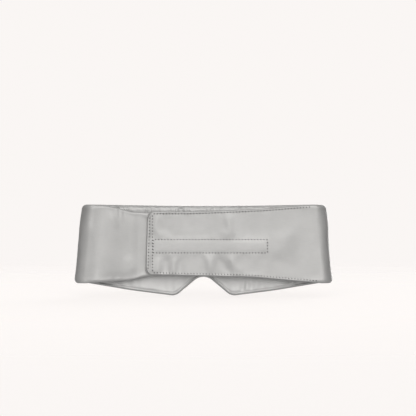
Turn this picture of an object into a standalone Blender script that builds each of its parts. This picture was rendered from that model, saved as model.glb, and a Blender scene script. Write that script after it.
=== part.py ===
"""Sleep eye mask: a padded satin wrap that closes behind the head with hook-and-loop tape.

The mask stands upright, as it is worn. +Z is up, the outer face of the front panel looks
towards -Y, and the two straps lie behind it, towards +Y. The right strap starts at the -X
fold and lies over the left strap, which starts at the +X fold. The origin is the middle of
the head opening, at half the height of the side folds. All lengths are in metres.
"""
import math

import bmesh
import bpy
import numpy as np
from mathutils import Matrix, Vector

# ---- Side folds: the wrap turns through half a circle about a slanted line -------------
FOLD_HALF_HEIGHT = 0.041
FOLD_CENTRE_X = 0.11875          # distance of the turn's centre from the middle, at z = 0
FOLD_SLANT = 0.1037              # how far the fold runs outwards for each metre downwards
FOLD_RADIUS = 0.009              # from the turn's centre to the middle of the padded band
FOLD_ARC_STEPS = 14
FOLD_AXIS_X = FOLD_CENTRE_X + 1.15 * FOLD_RADIUS     # the line that each strap swings about

# ---- Front panel ------------------------------------------------------------------------
FRONT_MID_Y = -FOLD_RADIUS
FRONT_THICKNESS = 0.011
FRONT_THICKNESS_AT_FOLD = 0.006
FRONT_RIM_RADIUS = 0.0045
FRONT_SEAM_Y = 0.0005            # where the outer shell meets the lining, from the mid plane
FRONT_TAPER = (0.080, 0.112)     # |x| where the panel starts and stops getting thinner
LINER_THICKNESS = 0.0006
LINER_INSET = 0.0042

TOP_MIDDLE_Z = 0.0393
TOP_MIDDLE_RADIUS = 3.0
BOTTOM_BOW = (0.075, -0.0490, 0.300)     # x, z and corner radius of the bowed lower edge
LOBE_CORNER = (0.0290, -0.0548, 0.006)
NOTCH_APEX_Z = -0.0300
NOTCH_RADIUS = 0.011

# ---- Straps -----------------------------------------------------------------------------
RIGHT_THICKNESS = 0.003
RIGHT_SETTLED_Y = 0.0105         # mid plane of the right strap, away from its fold
RIGHT_SETTLES = (0.008, 0.036)   # distances from the fold's centre where it gets there
RIGHT_TOP_BENDS = ((-0.060, 0.0364, 0.4), (0.010, 0.0334, 0.4))
RIGHT_BOTTOM_BEND = (-0.050, -0.0343, 0.5)
RIGHT_TIP_TOP = (0.0581, 0.0335, 0.005)
RIGHT_TIP_BOTTOM = (0.0603, -0.0318, 0.005)
TAB_GROOVE_X = 0.0537            # the stitched groove that the pull tab bends at

LEFT_THICKNESS = 0.004
LEFT_SETTLED_Y = 0.0045
LEFT_SETTLES = (0.010, 0.052)
LEFT_TOP_BENDS = ((0.072, 0.0334, 0.06), (0.100, 0.0402, 0.06))
LEFT_BOTTOM_BENDS = ((0.076, -0.0380, 0.06), (0.058, -0.0336, 0.09))
LEFT_TIP_X = 0.0045
LEFT_TIP_HALF_HEIGHT = 0.0312
LEFT_TIP_RADIUS = 0.008

SETTLE_STEPS = 6                 # flat steps that a strap or the panel changes depth in

# ---- Fabric layers ----------------------------------------------------------------------
SILK = 0.0006
GAP = 0.0003                     # clearance between pieces that touch
RIM_SEGMENTS = 2
ARC_STEP = math.radians(15)
OVERRUN_X = 0.135                # plates are drawn this far out and cut at the fold line
FOLD_LAYERS = {                  # share of the band's thickness that each layer fills
    "lining": (0.0, 0.12),
    "padding": (0.17, 0.83),
    "silk": (0.88, 1.0),
}

# ---- Hook-and-loop tapes, and stitches ---------------------------------------------------
TAPE_THICKNESS = 0.0008
TAPE_HALF_WIDTH = 0.008
TAPE_MIDDLE_Z = -0.00235
TAPE_CORNER = 0.0015
LOOP_TAPE_X = (-0.0677, 0.0533)
HOOK_TAPE_X = (0.0080, 0.0500)
TAPE_STITCH_INSET = 0.00105
EDGE_STITCH_INSET = 0.0019
STITCH_PITCH = 0.00275
THREAD_RADIUS = 0.0002
THREAD_RISE = 0.0002             # how much higher the middle of each stitch lies
THREAD_GAP = 0.0002
THREAD_RESOLUTION = 0

# ---- Colours and roughness ---------------------------------------------------------------
FINISHES = {
    "silk": ((0.50, 0.50, 0.495), 0.38),
    "lining": ((0.47, 0.47, 0.465), 0.42),
    "padding": ((0.80, 0.79, 0.76), 0.95),
    "liner": ((0.03, 0.03, 0.035), 0.70),
    "tape": ((0.45, 0.45, 0.45), 0.80),
    "thread": ((0.56, 0.56, 0.55), 0.55),
}


# ---- Scene and objects -------------------------------------------------------------------
def clear_scene():
    for old in list(bpy.data.objects):
        bpy.data.objects.remove(old, do_unlink=True)


def make_collection(name):
    collection = bpy.data.collections.new(name)
    bpy.context.scene.collection.children.link(collection)
    return collection


def make_material(name, finish):
    colour, roughness = FINISHES[finish]
    material = bpy.data.materials.new(name)
    material.use_nodes = True
    shader = material.node_tree.nodes["Principled BSDF"]
    shader.inputs["Base Color"].default_value = (*colour, 1.0)
    shader.inputs["Roughness"].default_value = roughness
    shader.inputs["Metallic"].default_value = 0.0
    return material


def make_axis(collection, name, location, lean=0.0):
    """An empty on a joint's axis. lean turns it about Y, so that its Z follows the axis."""
    empty = bpy.data.objects.new(name, None)
    empty.location = location
    empty.rotation_euler = (0.0, lean, 0.0)
    collection.objects.link(empty)
    bpy.context.view_layer.update()
    return empty


def make_part(collection, name, shape, finish, axis=None):
    """Turns a bmesh into a named object with its own material, hung on its joint's axis."""
    mesh = bpy.data.meshes.new(name)
    shape.to_mesh(mesh)
    shape.free()
    part = bpy.data.objects.new(name, mesh)
    part.data.materials.append(make_material(name + "_cloth", finish))
    collection.objects.link(part)
    if axis:
        part.parent = axis
        part.matrix_parent_inverse = axis.matrix_world.inverted()
    return part


def thicken_inwards(part):
    """Gives an open shell the silk's thickness, on its inner side."""
    skin = part.modifiers.new("silk_thickness", "SOLIDIFY")
    skin.thickness = SILK
    skin.offset = -1.0
    skin.use_even_offset = True


# ---- Outlines ----------------------------------------------------------------------------
def fillet(before, corner, after, radius):
    """The arc that replaces a corner between two straight stretches."""
    to_before = (before - corner).normalized()
    to_after = (after - corner).normalized()
    half_angle = to_before.angle(to_after) / 2
    centre = corner + (to_before + to_after).normalized() * radius / math.sin(half_angle)
    start = corner + to_before * radius / math.tan(half_angle) - centre
    end = corner + to_after * radius / math.tan(half_angle) - centre
    sweep = start.angle_signed(end)
    steps = max(3, math.ceil(abs(sweep) / ARC_STEP))
    arc = []
    for step in range(steps + 1):
        turned = start.copy()
        turned.rotate(Matrix.Rotation(-sweep * step / steps, 2))
        arc.append(centre + turned)
    return arc


def rounded(corners):
    """Points of a closed outline. Each corner is (x, z) or (x, z, radius)."""
    places = [Vector(corner[:2]) for corner in corners]
    points = []
    for index, corner in enumerate(corners):
        after = places[(index + 1) % len(places)]
        if len(corner) == 2:
            points.append(places[index])
        else:
            points.extend(fillet(places[index - 1], places[index], after, corner[2]))
    return points


def mirrored(corner):
    return (-corner[0], *corner[1:])


def fold_x(z):
    """Distance of the fold's centre line from the middle, at a height."""
    return FOLD_CENTRE_X - FOLD_SLANT * z


def front_outline():
    top, bottom = FOLD_HALF_HEIGHT, -FOLD_HALF_HEIGHT
    half = [
        (fold_x(top), top),
        (OVERRUN_X, top),
        (OVERRUN_X, bottom),
        (fold_x(bottom), bottom),
        BOTTOM_BOW,
        LOBE_CORNER,
    ]
    other_half = [mirrored(corner) for corner in reversed(half)]
    notch = (0.0, NOTCH_APEX_Z, NOTCH_RADIUS)
    top_middle = (0.0, TOP_MIDDLE_Z, TOP_MIDDLE_RADIUS)
    return rounded([top_middle] + half + [notch] + other_half)


def right_strap_outline():
    top, bottom = FOLD_HALF_HEIGHT, -FOLD_HALF_HEIGHT
    return rounded([
        (-OVERRUN_X, top),
        (-fold_x(top), top),
        *RIGHT_TOP_BENDS,
        RIGHT_TIP_TOP,
        RIGHT_TIP_BOTTOM,
        RIGHT_BOTTOM_BEND,
        (-fold_x(bottom), bottom),
        (-OVERRUN_X, bottom),
    ])


def left_strap_outline():
    top, bottom = FOLD_HALF_HEIGHT, -FOLD_HALF_HEIGHT
    return rounded([
        (LEFT_TIP_X, LEFT_TIP_HALF_HEIGHT, LEFT_TIP_RADIUS),
        *LEFT_TOP_BENDS,
        (fold_x(top), top),
        (OVERRUN_X, top),
        (OVERRUN_X, bottom),
        (fold_x(bottom), bottom),
        *LEFT_BOTTOM_BENDS,
        (LEFT_TIP_X, -LEFT_TIP_HALF_HEIGHT, LEFT_TIP_RADIUS),
    ])


def tape_outline(x_range, inset=0.0):
    half_width = TAPE_HALF_WIDTH - inset
    left, right = x_range[0] + inset, x_range[1] - inset
    low, high = TAPE_MIDDLE_Z - half_width, TAPE_MIDDLE_Z + half_width
    return rounded([
        (left, high, TAPE_CORNER),
        (right, high, TAPE_CORNER),
        (right, low, TAPE_CORNER),
        (left, low, TAPE_CORNER),
    ])


def moved_inwards(points, distance):
    """A clockwise outline, moved in from its edge by the same distance all round."""
    moved = []
    for index, point in enumerate(points):
        along = (points[(index + 1) % len(points)] - points[index - 1]).normalized()
        moved.append(point + Vector((along.y, -along.x)) * distance)
    return moved


# ---- Plates and shells -------------------------------------------------------------------
def plate(outline, thickness, rim=0.0, inset=0.0):
    """A flat plate in XZ, centred on y = 0, with rounded rims. Made as a filled 2D curve."""
    curve = bpy.data.curves.new("plate_outline", "CURVE")
    curve.dimensions = "2D"
    curve.fill_mode = "BOTH"
    curve.extrude = thickness / 2 - rim
    curve.bevel_depth = rim
    curve.bevel_resolution = RIM_SEGMENTS
    curve.offset = -(rim + inset)
    spline = curve.splines.new("POLY")
    spline.points.add(len(outline) - 1)
    for point, place in zip(spline.points, outline):
        point.co = (place.x, place.y, 0.0, 1.0)
    spline.use_cyclic_u = True
    drawing = bpy.data.objects.new("plate_outline", curve)
    bpy.context.scene.collection.objects.link(drawing)
    filled = bpy.data.meshes.new_from_object(drawing.evaluated_get(bpy.context.evaluated_depsgraph_get()))
    bpy.data.objects.remove(drawing)
    shape = bmesh.new()
    shape.from_mesh(filled)
    bmesh.ops.remove_doubles(shape, verts=shape.verts, dist=1e-6)
    bmesh.ops.transform(shape, matrix=Matrix.Rotation(math.pi / 2, 4, "X"), verts=shape.verts)
    bmesh.ops.recalc_face_normals(shape, faces=shape.faces)
    return shape


def cut(shape, place, normal, fill):
    """Cuts away what lies on the normal's side of a plane, and closes the cut if asked."""
    everything = shape.verts[:] + shape.edges[:] + shape.faces[:]
    bmesh.ops.bisect_plane(shape, geom=everything, plane_co=place, plane_no=normal, clear_outer=True)
    if fill:
        open_edges = [edge for edge in shape.edges if edge.is_boundary]
        bmesh.ops.holes_fill(shape, edges=open_edges)


def fold_cut(side):
    """The plane, as a place and a normal, half a gap short of one fold's centre line."""
    return (side * (FOLD_CENTRE_X - GAP / 2), 0.0, 0.0), (side, 0.0, FOLD_SLANT)


def settle_steps(start, end, before, after):
    """Places along x, and the depth at each, of a smooth change made in flat steps."""
    shares = np.linspace(0.0, 1.0, SETTLE_STEPS + 1)
    depths = before + (after - before) * shares * shares * (3 - 2 * shares)
    return start + (end - start) * shares, depths


def bend_in_steps(shape, places, depth_at):
    """Creases a plate at places along x, then moves each point to its depth."""
    for place in places:
        everything = shape.verts[:] + shape.edges[:] + shape.faces[:]
        bmesh.ops.bisect_plane(shape, geom=everything, plane_co=(place, 0.0, 0.0), plane_no=(1.0, 0.0, 0.0))
    for vertex in shape.verts:
        vertex.co.y = depth_at(vertex.co.x, vertex.co.y)


# ---- Front panel -------------------------------------------------------------------------
FRONT_PLACES, FRONT_HALVES = settle_steps(*FRONT_TAPER, FRONT_THICKNESS / 2, FRONT_THICKNESS_AT_FOLD / 2)


def front_half_thickness(x):
    return float(np.interp(abs(x), FRONT_PLACES, FRONT_HALVES))


def fit_front_layer(shape, low_at, high_at):
    """Stretches a layer's depth so that it runs between two depths, which vary along x."""
    low = min(vertex.co.y for vertex in shape.verts)
    high = max(vertex.co.y for vertex in shape.verts)

    def depth_at(x, y):
        share = (y - low) / (high - low)
        half = front_half_thickness(x)
        return FRONT_MID_Y + low_at(half) * (1 - share) + high_at(half) * share

    bend_in_steps(shape, [side * place for side in (-1, 1) for place in FRONT_PLACES], depth_at)


def front_shell(outline, towards):
    """One half of the panel's silk bag: towards -1 is the outer face, +1 the lining."""
    shape = plate(outline, FRONT_THICKNESS, FRONT_RIM_RADIUS)
    seam = FRONT_SEAM_Y + towards * GAP / 2
    cut(shape, (0.0, seam, 0.0), (0.0, -towards, 0.0), fill=False)
    for side in (-1, 1):
        cut(shape, *fold_cut(side), fill=False)
    if towards < 0:
        fit_front_layer(shape, lambda half: -half, lambda half: seam)
    else:
        fit_front_layer(shape, lambda half: seam, lambda half: half)
    return shape


def front_core(outline, thickness, rim, inset, low_at, high_at):
    """A closed layer inside the silk bag."""
    shape = plate(outline, thickness, rim, inset)
    for side in (-1, 1):
        cut(shape, *fold_cut(side), fill=True)
    fit_front_layer(shape, low_at, high_at)
    return shape


def make_front_panel(collection):
    outline = front_outline()
    thicken_inwards(make_part(collection, "front_outer_silk", front_shell(outline, -1), "silk"))
    thicken_inwards(make_part(collection, "front_lining_silk", front_shell(outline, 1), "lining"))

    liner_back = SILK + GAP
    liner_front = liner_back + LINER_THICKNESS
    padding_back = liner_front + GAP
    padding_inset = SILK + 2 * GAP
    padding = front_core(
        outline,
        FRONT_THICKNESS - padding_inset - padding_back,
        FRONT_RIM_RADIUS - padding_inset,
        padding_inset,
        lambda half: liner_back - half,
        lambda half: half - padding_back,
    )
    make_part(collection, "front_padding", padding, "padding")
    liner = front_core(
        outline,
        LINER_THICKNESS,
        0.0,
        LINER_INSET,
        lambda half: half - liner_front,
        lambda half: half - liner_back,
    )
    make_part(collection, "front_blackout_liner", liner, "liner")


# ---- Side folds --------------------------------------------------------------------------
def make_fold(collection, name, side, strap_thickness):
    """The padded band that turns from the front panel to one strap, in three layers."""
    for layer, (inner_share, outer_share) in FOLD_LAYERS.items():
        inner_arc, outer_arc = [], []
        for step in range(FOLD_ARC_STEPS + 1):
            share = step / FOLD_ARC_STEPS
            thickness = FRONT_THICKNESS_AT_FOLD * (1 - share) + strap_thickness * share
            angle = math.pi * (share - 0.5)
            direction = Vector((side * math.cos(angle), math.sin(angle)))
            middle = Vector((side * (FOLD_CENTRE_X + GAP / 2), 0.0))
            inner_arc.append(middle + direction * (FOLD_RADIUS + thickness * (inner_share - 0.5)))
            outer_arc.append(middle + direction * (FOLD_RADIUS + thickness * (outer_share - 0.5)))
        band = plate(outer_arc + inner_arc[::-1], 2 * FOLD_HALF_HEIGHT)
        # The plate is drawn in XZ: turn it so that it stands, then slant it along the fold.
        bmesh.ops.transform(band, matrix=Matrix.Rotation(-math.pi / 2, 4, "X"), verts=band.verts)
        for vertex in band.verts:
            vertex.co.x -= side * FOLD_SLANT * vertex.co.z
        make_part(collection, f"{name}_fold_{layer}", band, layer)


# ---- Straps ------------------------------------------------------------------------------
def strap_depths(side, settles, settled_y):
    """Places along x and mid-plane depths of a strap, in order of rising x."""
    distances, depths = settle_steps(*settles, FOLD_RADIUS, settled_y)
    places = side * (FOLD_CENTRE_X - distances)
    order = np.argsort(places)
    return places[order], depths[order]


def lay(shape, depths, offset=0.0):
    """Lays a flat plate or row of stitches along a strap, offset from its mid plane."""
    places, mid = depths
    bend_in_steps(shape, places, lambda x, y: y + offset + float(np.interp(x, places, mid)))


def strap_layers(outline, thickness, depths, cuts):
    """The outer silk, core and lining of a flat strap. cuts are its straight ends."""
    rim = thickness / 2 - GAP
    shapes = {}
    for layer, towards in (("silk", 1), ("lining", -1)):
        shell = plate(outline, thickness, rim)
        cut(shell, (0.0, towards * GAP / 2, 0.0), (0.0, -towards, 0.0), fill=False)
        for place, normal in cuts:
            cut(shell, place, normal, fill=False)
        lay(shell, depths)
        shapes[layer] = shell
    inset = SILK + GAP
    core = plate(outline, thickness - 2 * inset, 0.0, thickness / 2)
    for place, normal in cuts:
        cut(core, place, normal, fill=True)
    lay(core, depths)
    shapes["core"] = core
    return shapes


def make_strap(collection, name, shapes, core_name, core_finish, axis):
    thicken_inwards(make_part(collection, name + "_silk", shapes["silk"], "silk", axis))
    thicken_inwards(make_part(collection, name + "_lining", shapes["lining"], "lining", axis))
    make_part(collection, name + core_name, shapes["core"], core_finish, axis)


def make_tape(collection, name, x_range, mid_y, axis):
    tape = plate(tape_outline(x_range), TAPE_THICKNESS)
    for vertex in tape.verts:
        vertex.co.y += mid_y
    make_part(collection, name, tape, "tape", axis)


# ---- Stitching ---------------------------------------------------------------------------
def row_points(path):
    """Points along a closed path, two for each stitch: its start and its middle."""
    ends = path[1:] + path[:1]
    walked = np.cumsum([0.0] + [(end - start).length for start, end in zip(path, ends)])
    count = 2 * round(walked[-1] / STITCH_PITCH)
    distances = np.arange(count) * walked[-1] / count
    closed = path + path[:1]
    across = np.interp(distances, walked, [point.x for point in closed])
    up = np.interp(distances, walked, [point.y for point in closed])
    return [(x, z, index % 2) for index, (x, z) in enumerate(zip(across, up))]


def make_stitching(collection, name, row, depth_at, towards, axis, closed=False):
    """The sewing thread of one row: it rises over each stitch, just off the cloth."""
    curve = bpy.data.curves.new(name, "CURVE")
    curve.dimensions = "3D"
    curve.bevel_depth = THREAD_RADIUS
    curve.bevel_resolution = THREAD_RESOLUTION
    curve.use_fill_caps = not closed
    spline = curve.splines.new("POLY")
    spline.points.add(len(row) - 1)
    spline.use_cyclic_u = closed
    for point, (x, z, in_middle) in zip(spline.points, row):
        height = THREAD_GAP + THREAD_RADIUS + in_middle * THREAD_RISE
        point.co = (x, depth_at(x) + towards * height, z, 1.0)
    curve.materials.append(make_material(name + "_thread", "thread"))
    thread = bpy.data.objects.new(name, curve)
    collection.objects.link(thread)
    thread.parent = axis
    thread.matrix_parent_inverse = axis.matrix_world.inverted()


def make_left_strap(collection):
    axis = make_axis(collection, "left_strap_axis", (FOLD_AXIS_X, 0.0, 0.0), -math.atan(FOLD_SLANT))
    depths = strap_depths(1, LEFT_SETTLES, LEFT_SETTLED_Y)
    shapes = strap_layers(left_strap_outline(), LEFT_THICKNESS, depths, [fold_cut(1)])
    make_strap(collection, "left_strap", shapes, "_padding", "padding", axis)

    outer_face = LEFT_SETTLED_Y + LEFT_THICKNESS / 2
    make_tape(collection, "hook_tape", HOOK_TAPE_X, outer_face + GAP + TAPE_THICKNESS / 2, axis)
    row = row_points(tape_outline(HOOK_TAPE_X, TAPE_STITCH_INSET))
    inner_face = LEFT_SETTLED_Y - LEFT_THICKNESS / 2
    make_stitching(collection, "hook_tape_stitching", row, lambda x: inner_face, -1, axis, closed=True)


def make_right_strap(collection):
    axis = make_axis(collection, "right_strap_axis", (-FOLD_AXIS_X, 0.0, 0.0), math.atan(FOLD_SLANT))
    groove = (TAB_GROOVE_X - GAP / 2, 0.0, 0.0)
    depths = strap_depths(-1, RIGHT_SETTLES, RIGHT_SETTLED_Y)
    outline = right_strap_outline()
    shapes = strap_layers(outline, RIGHT_THICKNESS, depths, [fold_cut(-1), (groove, (1.0, 0.0, 0.0))])
    make_strap(collection, "right_strap", shapes, "_interlining", "padding", axis)

    inner_face = RIGHT_SETTLED_Y - RIGHT_THICKNESS / 2
    make_tape(collection, "loop_tape", LOOP_TAPE_X, inner_face - GAP - TAPE_THICKNESS / 2, axis)

    def outer_face(x):
        return float(np.interp(x, *depths)) + RIGHT_THICKNESS / 2

    box = row_points(tape_outline(LOOP_TAPE_X, TAPE_STITCH_INSET))
    make_stitching(collection, "loop_tape_stitching", box, outer_face, 1, axis, closed=True)
    edge = row_points(moved_inwards(outline, EDGE_STITCH_INSET))
    on_strap = [
        point for point in edge
        if -fold_x(point[1]) + STITCH_PITCH < point[0] < TAB_GROOVE_X - STITCH_PITCH / 2
    ]
    top = [point for point in on_strap if point[1] > 0.0]
    bottom = [point for point in on_strap if point[1] < 0.0]
    make_stitching(collection, "right_strap_top_stitching", top, outer_face, 1, axis)
    make_stitching(collection, "right_strap_bottom_stitching", bottom, outer_face, 1, axis)
    on_tab = [point for point in edge if point[0] > TAB_GROOVE_X + STITCH_PITCH / 2]
    make_pull_tab(collection, outline, depths, on_tab, outer_face)


def make_pull_tab(collection, outline, depths, row, outer_face):
    """The end band of the right strap, past the groove. It carries no tape."""
    axis = make_axis(collection, "pull_tab_axis", (TAB_GROOVE_X, outer_face(TAB_GROOVE_X), 0.0))
    groove = (TAB_GROOVE_X + GAP / 2, 0.0, 0.0)
    shapes = strap_layers(outline, RIGHT_THICKNESS, depths, [(groove, (-1.0, 0.0, 0.0))])
    make_strap(collection, "pull_tab", shapes, "_interlining", "padding", axis)
    make_stitching(collection, "pull_tab_stitching", row, outer_face, 1, axis)


def main():
    clear_scene()
    mask = make_collection("sleep_eye_mask")
    make_front_panel(mask)
    make_fold(mask, "left", 1, LEFT_THICKNESS)
    make_fold(mask, "right", -1, RIGHT_THICKNESS)
    make_left_strap(mask)
    make_right_strap(mask)


main()
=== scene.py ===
"""The visible sleep eye mask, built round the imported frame.

One padded wrap is laid out as a grid: from the left strap's tip, round the left fold, across
the front panel, round the right fold and along the right strap to its tip. A cloth simulation
swells it, folds and puckers are pressed in, and it is split into the pieces that ride on the
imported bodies. Tapes and stitches follow. All lengths are in metres.
"""

import math

import bpy
import numpy as np
from mathutils import Matrix, Vector, noise
from mathutils.bvhtree import BVHTree


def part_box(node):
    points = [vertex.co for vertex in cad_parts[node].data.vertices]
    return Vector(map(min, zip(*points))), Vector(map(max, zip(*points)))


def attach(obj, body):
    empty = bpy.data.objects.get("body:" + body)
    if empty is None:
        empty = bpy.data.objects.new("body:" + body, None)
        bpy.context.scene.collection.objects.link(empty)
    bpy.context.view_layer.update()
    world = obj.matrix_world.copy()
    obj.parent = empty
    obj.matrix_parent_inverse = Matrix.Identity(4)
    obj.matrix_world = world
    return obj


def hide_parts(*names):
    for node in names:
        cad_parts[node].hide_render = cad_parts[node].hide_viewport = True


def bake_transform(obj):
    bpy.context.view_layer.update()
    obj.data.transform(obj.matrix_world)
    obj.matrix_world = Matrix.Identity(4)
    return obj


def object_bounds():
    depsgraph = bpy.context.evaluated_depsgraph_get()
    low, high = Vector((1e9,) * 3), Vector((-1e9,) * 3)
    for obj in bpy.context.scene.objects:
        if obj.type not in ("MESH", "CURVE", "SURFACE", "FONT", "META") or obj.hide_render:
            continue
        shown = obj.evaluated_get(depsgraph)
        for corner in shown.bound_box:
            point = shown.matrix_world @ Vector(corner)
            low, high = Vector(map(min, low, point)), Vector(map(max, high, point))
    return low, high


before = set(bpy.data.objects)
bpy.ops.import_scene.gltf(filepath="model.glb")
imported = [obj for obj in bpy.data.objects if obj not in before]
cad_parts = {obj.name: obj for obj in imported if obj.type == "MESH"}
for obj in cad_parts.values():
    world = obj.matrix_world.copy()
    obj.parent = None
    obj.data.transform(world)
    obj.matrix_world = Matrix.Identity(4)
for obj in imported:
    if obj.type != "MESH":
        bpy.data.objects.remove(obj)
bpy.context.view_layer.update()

# ---- The wrap's outline, as the part has it ----
FOLD_HALF_HEIGHT = 0.041
FOLD_CENTRE_X = 0.11875
FOLD_SLANT = 0.1037
FOLD_RADIUS = 0.009
TOP_MIDDLE = (0.0, 0.0393, 3.0)  # x and z of a corner, and the radius that rounds it
BOTTOM_BOW = (0.075, -0.049, 0.3)
LOBE_CORNER = (0.029, -0.0548, 0.012)
NOTCH_APEX = (0.0, -0.0306, 0.014)

RIGHT_TOP_BENDS = ((-0.06, 0.0366, 0.4), (0.01, 0.0337, 0.4))
RIGHT_BOTTOM_BEND = (-0.05, -0.0345, 0.5)
RIGHT_TIP_TOP = (0.0581, 0.0337)
RIGHT_TIP_BOTTOM = (0.0603, -0.032)
RIGHT_TIP_RADIUS = 0.0062
TAB_GROOVE_X = 0.0537
TAB_LIFT = 0.0007  # how far the tab's free end stands off the strap under it

LEFT_TOP_BENDS = ((0.1, 0.0402, 0.06), (0.072, 0.0334, 0.06))
LEFT_BOTTOM_BENDS = ((0.076, -0.038, 0.06), (0.058, -0.0336, 0.09))
LEFT_TIP_X = 0.0045
LEFT_TIP_HALF_HEIGHT = 0.0312
LEFT_TIP_RADIUS = 0.008

# ---- Depths: the middle of the band and half its thickness ----
FRONT_HALF = 0.0055
FOLD_HALF = 0.0023
FRONT_TAPER = (0.078, 0.115)
FRONT_ROLL = 0.019  # how far before the fold the outer skin starts to curve over
LEFT_ROLL = (0.012, 0.0007)  # the same for a strap, and how much it swells up before it
RIGHT_ROLL = (0.002, 0.0003)
SWELL_REACH = (0.034, 0.01)  # the swell rises between these distances from the fold
RIGHT_HALF = 0.0015
RIGHT_SETTLES = (0.008, 0.036, 0.0105)  # between these distances from its fold, at this y
LEFT_HALF = 0.002
LEFT_SETTLES = (0.01, 0.052, 0.0045)
SKIN_EVENING = 10  # how often the outer skin's depth is evened out

# ---- The grid ----
COLUMN_STEP = 0.0013
EDGE_ROWS = (0.0, 0.0004, 0.0009, 0.0014, 0.002, 0.0028, 0.0034,
             0.0042, 0.0052, 0.0064, 0.0079, 0.0097, 0.0118)
MIDDLE_ROWS = 36  # steps between the two sets of edge rows
EDGE_ROWS_SHARE = 2.6  # a column is at least this many times as high as its edge rows
EDGE_TRIES = 8  # steps that find where a slanted column meets the outline
SEAM_ROW = 5  # the lining starts here, in from the rolled edge
JOIN_DISTANCE = 0.003  # how far before the fold the front piece ends
TAB_COLUMNS = (0.0, 0.16, 0.32, 0.48, 0.62, 0.74, 0.84, 0.92, 1.0)
FOLD_CORNER = 0.001  # how much the band's corners are rounded where it turns
FOLD_OUTSIDE = 0.012  # radius of the fold's outer skin
FOLD_BULGE = 0.0009  # how much further out it lies half way up
FOLD_TOP_EXTRA = (0.0005, 0.0021)  # and how much further at the top of the left and the right fold
FOLD_TOP = (-0.01, 0.03)  # that extra rises between these heights

EDGE_ROUNDING = 0.0045  # how far in from an edge the skins curve over
ROUNDING_CHANGES = (0.0018, -0.001, -0.0025)  # added on the front, left and right, off the folds
TOP_RIM = 0.005  # the same along the lining's top edge
TOP_RIM_REACH = 0.02  # down to this far below it
LINING_RIM = 0.006  # and at most this on the rest of the lining
FRONT_RIM = 0.004  # the same for the front's outer skin
FRONT_PILLOW = (0.02, 0.34)  # it goes on rising to here, by this share of its thickness
OFF_FOLD = 0.02  # the rims change over this distance from a fold
CALM_REACH = 0.03  # creases and lumps fade out over this distance from a fold

# ---- Tapes and stitches ----
STITCH_PITCH = 0.0032
STITCH_LENGTH = 0.00125
STITCH_RADIUS = 0.0005
EDGE_STITCH_INSET = 0.0023
TAB_STITCH_INSET = 0.0026
TAPE_STITCH_INSET = 0.00105
HOOK_STITCH_INSET = 0.0007
TAPE_CORNER = 0.0015
TAPE_SUNK = 0.0002  # how far a tape's base reaches into its strap
TOP_ROW_START = -0.112
BOTTOM_ROW_START = -0.119
ROW_END_INSET = 0.001  # where both end before the tab's groove
ROW_POINTS = 60
GROOVE_ROW_INSET = 0.0008
GROOVE_ROW_ENDS = 0.003
BEHIND = 0.1  # a y well behind the mask


# ---- Small helpers ----
def smooth(value):
    share = np.clip(value, 0.0, 1.0)
    return share * share * (3 - 2 * share)


def between(value, start, end):
    """Rises softly from 0 at the start to 1 at the end."""
    return smooth((value - start) / (end - start))


def evened_out(values, axis):
    """Each value mixed with its two neighbours along an axis; the values at the ends stay."""
    values = np.moveaxis(values, axis, 0).copy()
    values[1:-1] = 0.25 * values[:-2] + 0.5 * values[1:-1] + 0.25 * values[2:]
    return np.moveaxis(values, 0, axis)


def turns(sides):
    return np.arange(sides) * 2 * np.pi / sides


def fold_x(z):
    return FOLD_CENTRE_X - FOLD_SLANT * z


def fold_outside(x, z):
    """The radius of a fold's outer skin at a height, on the left side or the right."""
    bulge = FOLD_BULGE * np.clip(1 - (z / FOLD_HALF_HEIGHT) ** 2, 0.0, 1.0)
    return FOLD_OUTSIDE + bulge + np.where(x > 0, *FOLD_TOP_EXTRA) * between(z, *FOLD_TOP)


def fillet(before, corner, after, radius):
    """The arc that rounds one corner of an outline."""
    corner = Vector(corner)
    back, onward = ((Vector(end) - corner).normalized() for end in (before, after))
    half_angle = back.angle(onward) / 2
    middle = corner + (back + onward).normalized() * (radius / math.sin(half_angle))
    reach = radius / math.tan(half_angle)
    first, last = (corner + way * reach - middle for way in (back, onward))
    turn = first.angle_signed(last)
    steps = max(4, int(abs(turn) / math.radians(3)))
    return [tuple(middle + Matrix.Rotation(-turn * step / steps, 2) @ first) for step in range(steps + 1)]


def rounded(corners):
    """An open line through corners; a corner with a third number is rounded by that radius."""
    points = [corners[0][:2]]
    for before, corner, after in zip(corners, corners[1:], corners[2:]):
        points += fillet(before[:2], corner[:2], after[:2], corner[2]) if len(corner) > 2 else [corner]
    points.append(corners[-1][:2])
    line = np.array(points)
    return line[np.argsort(line[:, 0], kind="stable")]


def height_on(line, x):
    return np.interp(x, line[:, 0], line[:, 1])


def distance_to(line, x, z):
    """The distance in the XZ plane from each place to a line of points."""
    place = np.stack([x, z], -1)[..., None, :]
    first, along = line[:-1], np.diff(line, axis=0)
    square = np.maximum((along ** 2).sum(-1), 1e-14)
    share = np.clip(((place - first) * along).sum(-1) / square, 0.0, 1.0)
    gap = place - first - share[..., None] * along
    return np.sqrt((gap ** 2).sum(-1)).min(-1)


def mirrored(corner):
    return (-corner[0], *corner[1:])


# ---- Outlines ----
TOP_CORNER = (fold_x(FOLD_HALF_HEIGHT), FOLD_HALF_HEIGHT)
BOTTOM_CORNER = (fold_x(-FOLD_HALF_HEIGHT), -FOLD_HALF_HEIGHT)
BEYOND = 0.15  # the outlines run straight on to here, past the folds


def outline(*corners):
    """A rounded line through corners, which runs straight on past its first and last ones."""
    return rounded([(-BEYOND, corners[0][1]), *corners, (BEYOND, corners[-1][1])])


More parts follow.
